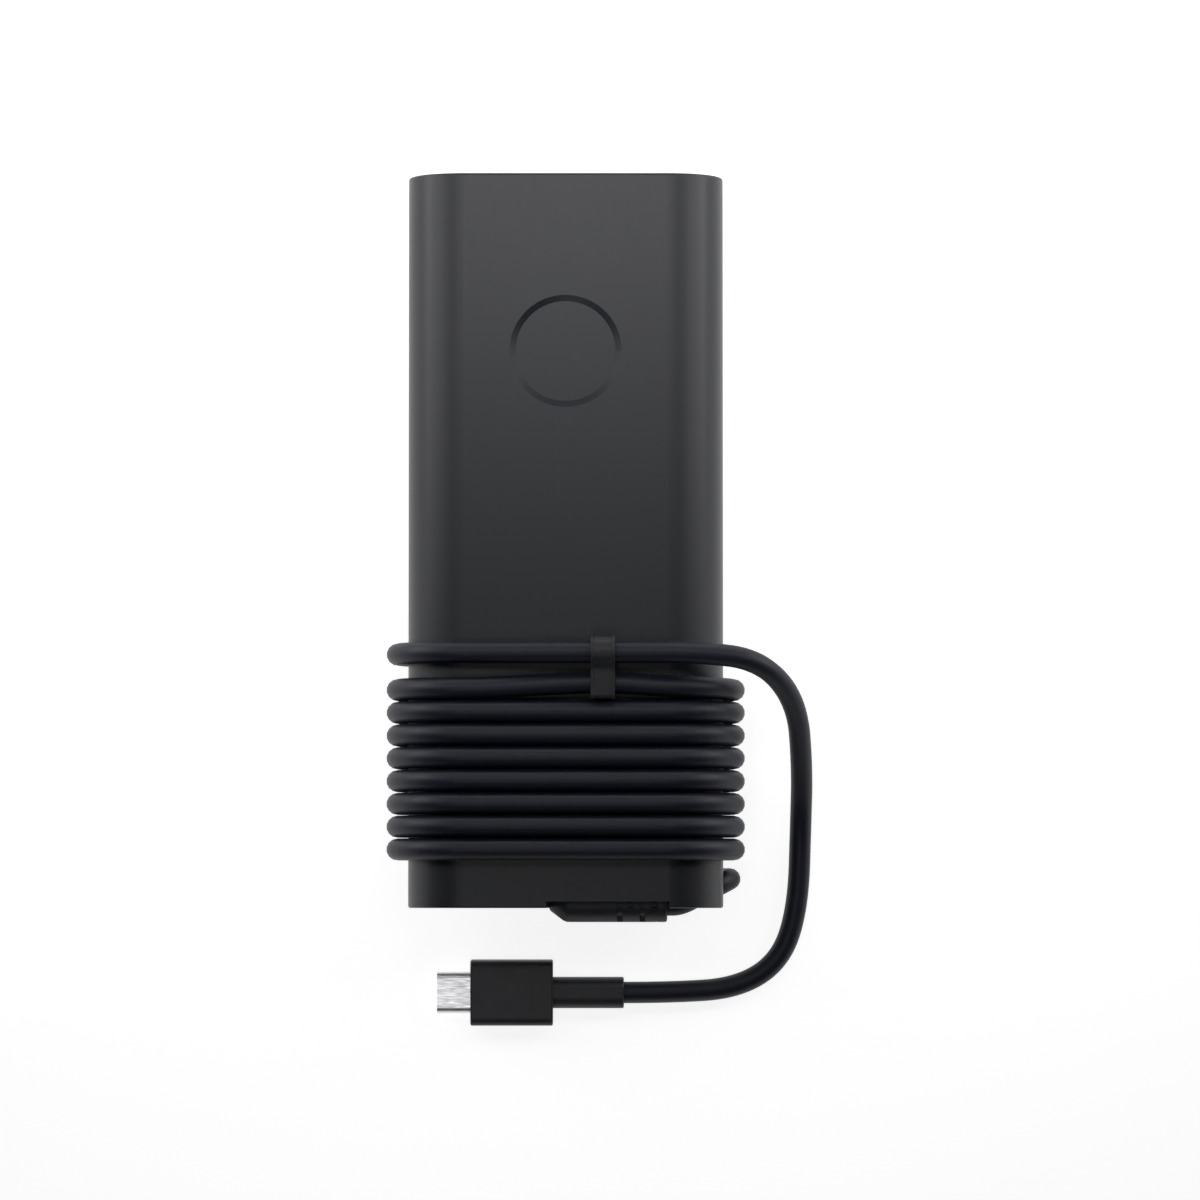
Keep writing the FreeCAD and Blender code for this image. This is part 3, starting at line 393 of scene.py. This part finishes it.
def finishes(settings):
    """Each slot's material, named for the real one and how its surface was made."""
    return {
        "case_plastic": spark_textured_polycarbonate(settings.case.colour, settings.case.grain),
        # Polyester label stock with a satin varnish, left blank: smoother and greyer than the case.
        "blank_label": moulded("satin polyester film", linear("#2b2c31"), 0.8 * MM, 0.3, 0.004 * MM),
        # Glass-filled nylon socket: a dull black skin with specks where the fibres reach it.
        "socket_plastic": moulded("glass-filled nylon", linear("#121315"), 0.4 * MM, 0.5, 0.02 * MM),
        # Brass pins under bright nickel: cool white metal with drawing lines along the pin.
        "pin_metal": plated("nickel-plated brass", linear("#c9c6bd"), 0.22, 6.0),
        # Extruded thermoplastic elastomer: satin, with a soft grain and no seam.
        "cord_jacket": moulded(
            "extruded elastomer jacket", settings.cord.colour, 0.5 * MM, 0.5, 0.006 * MM
        ),
        # Moulded soft vinyl of the exit boot: a touch greyer and duller than the jacket.
        "boot_rubber": moulded("moulded soft vinyl", linear("#36373d"), 0.4 * MM, 0.48),
        # Moulded silicone rubber of the keeper: dull and dry, it shows a grey sheen at its rims.
        "keeper_rubber": moulded("moulded silicone rubber", settings.keeper.colour, 0.4 * MM, 0.5),
        # Overmoulded grip of the plug: satin charcoal plastic.
        "plug_plastic": moulded("overmoulded plug grip", linear("#2a2a2e"), 0.45 * MM, 0.45),
        # Drawn steel shell under matt tin: pale, with soft reflections.
        "plug_steel": plated("tin-plated drawn steel", linear("#e8e8ea"), 0.36, 8.0, 0.0004 * MM),
        # Gold-flashed bronze contacts.
        "contact_metal": plated("gold-flashed bronze", linear("#d2a65a"), 0.25, 4.0),
        # Glass-fibre laminate under green solder mask: the weave just shows through.
        "circuit_board": moulded("solder-masked laminate", linear("#1d4a2c"), 1.2 * MM, 0.35, 0.02 * MM),
        # Pressed and fired ferrite: dark grey, granular.
        "ferrite": moulded("fired ferrite", linear("#2c2b2d"), 0.3 * MM, 0.6, 0.04 * MM),
        # Choke windings of bare-looking enamelled copper wire.
        "copper_wire": wound_copper("enamelled copper wire", linear("#a5562a"), 0.8 * MM, "Y"),
        # Yellow polyester tape over the transformer's windings, in overlapping laps.
        "tape_wrap": moulded("lapped polyester tape", linear("#c29a2c"), 1.5 * MM, 0.3, 0.05 * MM),
        # Moulded phenolic bobbin: dull brown-black.
        "bobbin_plastic": moulded("moulded phenolic", linear("#2a211c"), 0.4 * MM, 0.5),
        # Extruded aluminium plate, mill finish with fine extrusion lines.
        "aluminium_sink": plated("mill-finished aluminium", linear("#b4b6b9"), 0.36, 10.0),
        # Transfer-moulded epoxy of the chips: fine matt black.
        "chip_epoxy": moulded("transfer-moulded epoxy", linear("#191919"), 0.25 * MM, 0.55),
        # Shrunk sleeve of the electrolytic capacitors: glossy dark blue film.
        "capacitor_sleeve": moulded("heat-shrunk sleeve", linear("#1b2a55"), 2 * MM, 0.25, 0.03 * MM),
        # Film capacitor's moulded box: dull yellow.
        "film_box": moulded("moulded polyester box", linear("#b59a35"), 0.5 * MM, 0.45),
        # Dipped coating of the disc capacitors: blue, slightly lumpy.
        "disc_coating": moulded("dipped epoxy coating", linear("#2a5b8f"), 1.2 * MM, 0.35, 0.08 * MM),
        # Tinned wire of the leads.
        "tinned_wire": plated("tinned copper wire", linear("#b9b7b0"), 0.3, 5.0),
        # Insulating film: thin amber polyimide.
        "insulating_film": moulded("polyimide film", linear("#8a4a16"), 2 * MM, 0.3, 0.02 * MM),
        # Soft pad under the spreader: grey silicone filled with ceramic, dull and dry.
        "pad_rubber": moulded("ceramic-filled silicone", linear("#8d8f94"), 0.5 * MM, 0.7, 0.05 * MM),
        # Rolled copper heat spreader with its rolling lines.
        "copper_sheet": plated("rolled copper sheet", linear("#b8714a"), 0.33, 12.0),
    }


def use(piece, material):
    """Gives a piece's slots a material, adding one slot where it has none."""
    if not piece.material_slots:
        piece.data.materials.append(material)
    for place in piece.material_slots:
        place.material = material


# ---------------------------------------------------------------- pieces


class ADAPTER_OT_finishes(bpy.types.Operator):
    """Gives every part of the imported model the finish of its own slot"""

    bl_idname = "adapter.finishes"
    bl_label = "Finishes of the packed parts"

    def execute(self, context):
        materials = finishes(context.scene.adapter)
        for part in frame["record"]["subparts"]:
            use(frame["nodes"][part["node"]], materials[part["material_slot"]])
        return {"FINISHED"}


def finish_of(slot):
    """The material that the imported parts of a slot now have."""
    part = next(part for part in frame["record"]["subparts"] if part["material_slot"] == slot)
    return frame["nodes"][part["node"]].material_slots[0].material


def round_side(side, y, upward):
    """Six points round one side of the case; the line touches the legs between them."""
    step = math.radians(SIDE_STEP)
    reach = TURN_RADIUS / math.cos(step / 2)
    angles = [-math.pi / 2 + step * (n + 0.5) for n in range(6)]
    if not upward:
        angles.reverse()
    places = [(HALF_FLAT + reach * math.cos(a), HALF_THICKNESS + reach * math.sin(a)) for a in angles]
    return [(side * x, y, z) for x, z in places]


def cord_points():
    """The control points of the whole cord, from inside its boot to the plug, in the frame."""
    inner = HALF_FLAT - TURN_RADIUS * math.tan(math.radians(SIDE_STEP / 2))
    points = list(EXIT_RUN)
    for turn in range(TURN_COUNT):
        y = FIRST_TURN_Y + turn * TURN_PITCH
        points.append((-inner, y, BACK_Z))
        points += round_side(-1, y, True)
        points.append((-inner, y, FRONT_Z))
        if turn == TURN_COUNT - 1:
            points += [(2.2, y + 1.1, FRONT_Z), (11.4, y + 1.05, FRONT_Z), (inner, y + 0.6, FRONT_Z)]
            down = round_side(1, y, False)
            points += [(x, y + shift, z) for (x, y, z), shift in zip(down, NIP_EASE)]
        else:
            points.append((inner, y, FRONT_Z))
            points += round_side(1, y, False)
        points.append((inner, y, BACK_Z))
    points.append((-inner, LAST_TURN_Y, BACK_Z))
    points += round_side(-1, LAST_TURN_Y, True)
    points += [(-inner, LAST_TURN_Y, FRONT_Z + 0.15), (-2.0, LAST_TURN_Y, LAST_PASS_Z)]
    return [CASE @ Vector(point) for point in points] + [Vector(point) * MM for point in FREE_RUN]


class ADAPTER_OT_cord(bpy.types.Operator):
    """Makes the output cord, wound round the case and on to its plug"""

    bl_idname = "adapter.cord"
    bl_label = "Output cord"

    def execute(self, context):
        settings = context.scene.adapter.cord
        curve = bpy.data.curves.new("output cord", "CURVE")
        curve.dimensions = "3D"
        curve.bevel_depth = 1.0
        curve.bevel_resolution = settings.roundness
        curve.resolution_u = 10
        curve.use_fill_caps = True
        points = cord_points()
        spline = curve.splines.new("NURBS")
        spline.points.add(len(points) - 1)
        for place, point in zip(spline.points, points):
            place.co = (*point, 1)
            place.radius = settings.diameter / 2
        spline.order_u = 3
        spline.use_endpoint_u = True
        cord = link("output_cord", curve, "adapter")
        use(cord, finish_of("cord_jacket"))
        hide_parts("wound_cord", "free_cord")
        return {"FINISHED"}


def boot_profile():
    """The boot's half outline along the cord, (x, radius), from its closed left end to its mouth."""
    return [
        (-3.3, 0.0), (-3.3, 0.6), (-3.05, 1.15), (-1.5, 2.35), (-0.45, 3.12), (0.2, 3.36), (1.0, 3.4),
        (17.8, 3.4), (17.95, 3.32), (18.1, 3.4), (19.55, 3.4), (19.85, 3.3), (20.0, 3.0), (20.0, 2.3),
        (19.8, 2.22), (12.0, 2.22), (12.0, 0.0),
    ]


class ADAPTER_OT_boot(bpy.types.Operator):
    """Makes the rubber boot at the cord's exit, slotted from both sides so that it bends"""

    bl_idname = "adapter.boot"
    bl_label = "Exit boot"

    def execute(self, context):
        y, z = BOOT_AXIS
        body = bmesh.new()
        lathe(body, boot_profile(), y, z, 72)
        boot = link("exit_boot", mesh_from(body, "exit boot"), "adapter")
        slots = bmesh.new()
        for x, side in BOOT_SLOTS:
            size = Vector((BOOT_SLOT_WIDTH, 6.0, 4.0))
            for face in (-1, 1):
                away = face * (BOOT_WEB + size.z) / 2
                middle = Vector((x + BOOT_SLOT_WIDTH / 2, y + side * (size.y / 2 - 0.6), z + away))
                placed = Matrix.Translation(middle) @ Matrix.Diagonal((*size, 1))
                bmesh.ops.create_cube(slots, size=1, matrix=CASE @ placed)
        cutter = bpy.data.objects.new("slots", mesh_from(slots, "slots"))
        context.scene.collection.objects.link(cutter)
        cut = boot.modifiers.new("slots", "BOOLEAN")
        cut.object = cutter
        cut.solver = "EXACT"
        context.view_layer.update()
        slotted = bpy.data.meshes.new_from_object(boot.evaluated_get(context.evaluated_depsgraph_get()))
        boot.modifiers.clear()
        bpy.data.objects.remove(cutter)
        inside = bmesh.new()
        inside.from_mesh(slotted)
        lathe(inside, [(9.0, 2.3), (9.0, 2.45), (19.0, 2.45), (19.0, 2.3)], y, z, 48)
        neck = Matrix.Rotation(math.pi / 2, 4, "X")
        bmesh.ops.create_cone(
            inside, segments=48, radius1=3.0, radius2=3.0, depth=6.0, cap_ends=True,
            matrix=CASE @ Matrix.Translation((2.0, y + 3.4, z)) @ neck,
        )
        collar = Matrix.Translation((2.0, y + 6.8, z)) @ Matrix.Diagonal((9.4, 1.6, 9.4, 1))
        bmesh.ops.create_cube(inside, size=1, matrix=CASE @ collar)
        boot.data = mesh_from(inside, "exit boot")
        use(boot, finish_of("boot_rubber"))
        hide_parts("strain_relief_boot")
        return {"FINISHED"}


def arc(centre, radius, start, end, count):
    """Points on an arc in the keeper's outline, by angles in degrees."""
    angles = [math.radians(start + (end - start) * n / count) for n in range(count + 1)]
    return [(centre[0] + radius * math.cos(a), centre[1] + radius * math.sin(a)) for a in angles]


def keeper_outline():
    """The keeper's outline about its hinge, (y, z), and for each point whether it is on the outside."""
    outside = arc((0, 0), KEEPER_RING_RADIUS, 0, 122, 24)
    outside += arc((-3.95, 4.0), 2.37, -48, -90, 6)
    outside += arc((-8.25, 0.66), 0.97, 90, 178, 8)
    outside += [(-9.22, -0.5), (-9.12, -1.4), (-8.98, -2.2)]
    inside = arc((-8.64, -2.35), 0.34, 20, -180, 6)
    inside += [(-8.2, -1.35), (-8.31, -0.4)]
    inside += arc((-7.75, 0.08), 0.56, 178, 90, 5)
    inside += [(-6.0, 0.64), (-4.4, 0.64), (-3.7, 0.5)]
    inside += arc((0, 0), KEEPER_RING_RADIUS, 178, 352, 32)
    return [(point, True) for point in outside] + [(point, False) for point in inside]


class ADAPTER_OT_keeper(bpy.types.Operator):
    """Makes the cord keeper: a ring on the last pass and a hook over the pass beside it"""

    bl_idname = "adapter.keeper"
    bl_label = "Cord keeper"

    def execute(self, context):
        settings = context.scene.adapter.keeper
        rim, height = settings.rim_width / MM, settings.rim_height / MM
        outline = keeper_outline()
        count = len(outline)
        points = [Vector(point) for point, outside in outline]
        inward = []
        for n in range(count):
            along = (points[(n + 1) % count] - points[n - 1]).normalized()
            inward.append(Vector((-along.y, along.x)))
        left, right = KEEPER_X
        half = [(0, 0.22, 0.22), (0.07, 0.07, 0.07), (0.22, 0, 0), (rim, 0, 0), (rim + 0.12, height, 0)]
        stations = [(left + x, out, rest) for x, out, rest in half]
        stations += [(right - x, out, rest) for x, out, rest in reversed(half)]
        y, z = KEEPER_PIVOT
        bm = bmesh.new()
        rings = []
        for x, sunk, drawn_in in stations:
            ring = []
            for n, (point, outside) in enumerate(outline):
                at = points[n] + inward[n] * (sunk if outside else drawn_in)
                ring.append(bm.verts.new(CASE @ Vector((x, y + at.x, z + at.y))))
            rings.append(ring)
        for first, second in zip(rings, rings[1:]):
            for n in range(count):
                after = (n + 1) % count
                bm.faces.new((first[n], first[after], second[after], second[n]))
        bore_profile = [(x, KEEPER_BORE_RADIUS + drawn_in) for x, sunk, drawn_in in stations]
        bores = lathe(bm, bore_profile, y, z, 48)
        for ring, bore in ((rings[0], bores[0]), (rings[-1], bores[-1])):
            loops = [[vert.co for vert in ring], [vert.co for vert in bore]]
            verts = [*ring, *bore]
            for corners in tessellate_polygon(loops):
                bm.faces.new([verts[i] for i in corners])
        keeper = link("keeper_strap", mesh_from(bm, "keeper strap"), "keeper")
        use(keeper, finish_of("keeper_rubber"))
        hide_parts("cord_keeper")
        return {"FINISHED"}


# ---------------------------------------------------------------- stage

TABLE_WHITE = 0.85
TABLE_REACH = 3.0
TABLE_DROP = 0.3 * MM
WALL_HEIGHT = 0.6
ROOM_LIGHT = 0.02
CAMERA_LENS = 195.6
CAMERA_SENSOR = 36.0
CAMERA_X, CAMERA_Y = 6.75 * MM, -11.34 * MM

# The lamps by the setting that gives their power: share of it, place, point they face, size and spread in
# degrees. A lamp to one side has a twin on the other.
LAMPS = {
    "key": [(1.0, (0.0, 0.16, 0.40), (0.0, 0.09, 0.02), (0.24, 0.10), 60)],
    "side": [
        (0.026, (0.20, 0.17, 0.37), (0.0, 0.10, 0.02), (0.20, 0.12), 60),
        (0.072, (0.30, 0.18, 0.26), (0.0, 0.10, 0.02), (0.25, 0.15), 60),
        (0.053, (0.40, 0.18, 0.14), (0.0, 0.10, 0.02), (0.30, 0.15), 60),
        (0.849, (0.45, 0.25, 0.10), (0.0, 0.05, 0.02), (0.30, 0.12), 180),
    ],
    "far": [(1.0, (0.0, 0.45, 0.12), (0.0, 0.0, 0.02), (0.50, 0.12), 180)],
    "near": [(1.0, (0.0, -0.40, 0.15), (0.0, -0.05, 0.01), (0.50, 0.12), 180)],
    "card": [(1.0, (-0.035, -0.135, 0.45), (-0.017, -0.089, 0.0), (0.08, 0.07), 180)],

}


def table_material():
    """Satin white laminate: plain and pale, it keeps a light shadow under the adapter. The camera,
    gloss and glass see the same white glow. Diffuse light doesn't, so it adds none to the object."""
    material, tree, _ = new_material("satin white laminate")
    path = add_node(tree, "ShaderNodeLightPath").outputs
    seen = path["Is Camera Ray"]
    for ray in ("Is Glossy Ray", "Is Transmission Ray"):
        seen = add_node(
            tree, "ShaderNodeMath", {0: seen, 1: path[ray]}, operation="MAXIMUM"
        ).outputs[0]
    glow = add_node(
        tree, "ShaderNodeMath", {0: seen, 1: TABLE_WHITE}, operation="MULTIPLY"
    ).outputs[0]
    lit = add_node(tree, "ShaderNodeBsdfDiffuse", {"Color": (*linear("#b8b8ba"), 1)})
    white = add_node(tree, "ShaderNodeEmission", {"Color": (1, 1, 1, 1), "Strength": glow})
    both = add_node(tree, "ShaderNodeAddShader", {0: lit.outputs[0], 1: white.outputs[0]})
    add_node(tree, "ShaderNodeOutputMaterial", {"Surface": both.outputs[0]})
    return material


def room_world():
    """A dim, slightly cool room, the same for every kind of ray. The table and its wall are behind."""
    world = bpy.data.worlds.new("dim room")
    world.use_nodes = True
    tree = world.node_tree
    tree.nodes.clear()
    room = add_node(tree, "ShaderNodeBackground", {"Color": (0.70, 0.84, 1.0, 1), "Strength": ROOM_LIGHT})
    add_node(tree, "ShaderNodeOutputWorld", {"Surface": room.outputs[0]})
    return world


def area_light(name, place, target, size, power, spread):
    """A soft rectangular lamp that faces a point."""
    data = bpy.data.lights.new(name, "AREA")
    data.shape = "RECTANGLE"
    data.size, data.size_y = size
    data.energy = power
    data.spread = math.radians(spread)
    lamp = bpy.data.objects.new(name, data)
    lamp.location = place
    lamp.rotation_euler = (Vector(target) - Vector(place)).to_track_quat("-Z", "Y").to_euler()
    bpy.context.scene.collection.objects.link(lamp)


class ADAPTER_OT_stage(bpy.types.Operator):
    """Sets the adapter on a pale table, with soft lamps, a pale room and the camera above"""

    bl_idname = "adapter.stage"
    bl_label = "Stage"

    def execute(self, context):
        scene = context.scene
        settings = scene.adapter.stage
        bm = bmesh.new()
        bmesh.ops.create_grid(bm, x_segments=8, y_segments=8, size=TABLE_REACH)
        rim = [edge for edge in bm.edges if edge.is_boundary]
        wall = bmesh.ops.extrude_edge_only(bm, edges=rim)["geom"]
        tops = [part for part in wall if isinstance(part, bmesh.types.BMVert)]
        bmesh.ops.translate(bm, vec=(0, 0, WALL_HEIGHT), verts=tops)
        table = bpy.data.objects.new("table", mesh_from(bm, "table"))
        table.location.z = -TABLE_DROP
        scene.collection.objects.link(table)
        use(table, table_material())
        scene.world = room_world()
        for group, rows in LAMPS.items():
            power = getattr(settings, group + "_power")
            for share, (x, y, z), target, size, spread in rows:
                for side in (-1, 1) if x > 0 else (1,):
                    area_light(group, (side * x, y, z), target, size, share * power, spread)
        data = bpy.data.cameras.new("camera")
        data.lens = CAMERA_LENS
        data.sensor_width = CAMERA_SENSOR
        camera = bpy.data.objects.new("camera", data)
        camera.location = (CAMERA_X, CAMERA_Y, settings.camera_height)
        scene.collection.objects.link(camera)
        scene.camera = camera
        scene.view_settings.view_transform = "Standard"
        return {"FINISHED"}


class ADAPTER_PT_panel(bpy.types.Panel):
    """The adapter's settings and the operators that make its pieces"""

    bl_idname = "ADAPTER_PT_panel"
    bl_label = "Laptop power adapter"
    bl_space_type = "VIEW_3D"
    bl_region_type = "UI"
    bl_category = "Adapter"

    def draw(self, context):
        settings = context.scene.adapter
        for name in ("case", "cord", "keeper", "stage"):
            group = getattr(settings, name)
            box = self.layout.box()
            box.label(text="The " + name)
            for key in group.__annotations__:
                box.prop(group, key)
        for operator in OPERATORS:
            self.layout.operator(operator.bl_idname)


OPERATORS = [
    ADAPTER_OT_finishes, ADAPTER_OT_boot, ADAPTER_OT_keeper, ADAPTER_OT_cord, ADAPTER_OT_stage,
]
CLASSES = [
    CordSettings, KeeperSettings, CaseSettings, StageSettings, AdapterSettings, *OPERATORS,
    ADAPTER_PT_panel,
]


def register():
    for cls in CLASSES:
        bpy.utils.register_class(cls)
    bpy.types.Scene.adapter = PointerProperty(type=AdapterSettings)


def unregister():
    del bpy.types.Scene.adapter
    for cls in reversed(CLASSES):
        bpy.utils.unregister_class(cls)


def main():
    register()
    for name in ("finishes", "boot", "keeper", "cord", "stage"):
        getattr(bpy.ops.adapter, name)()


if __name__ == "__main__":
    main()
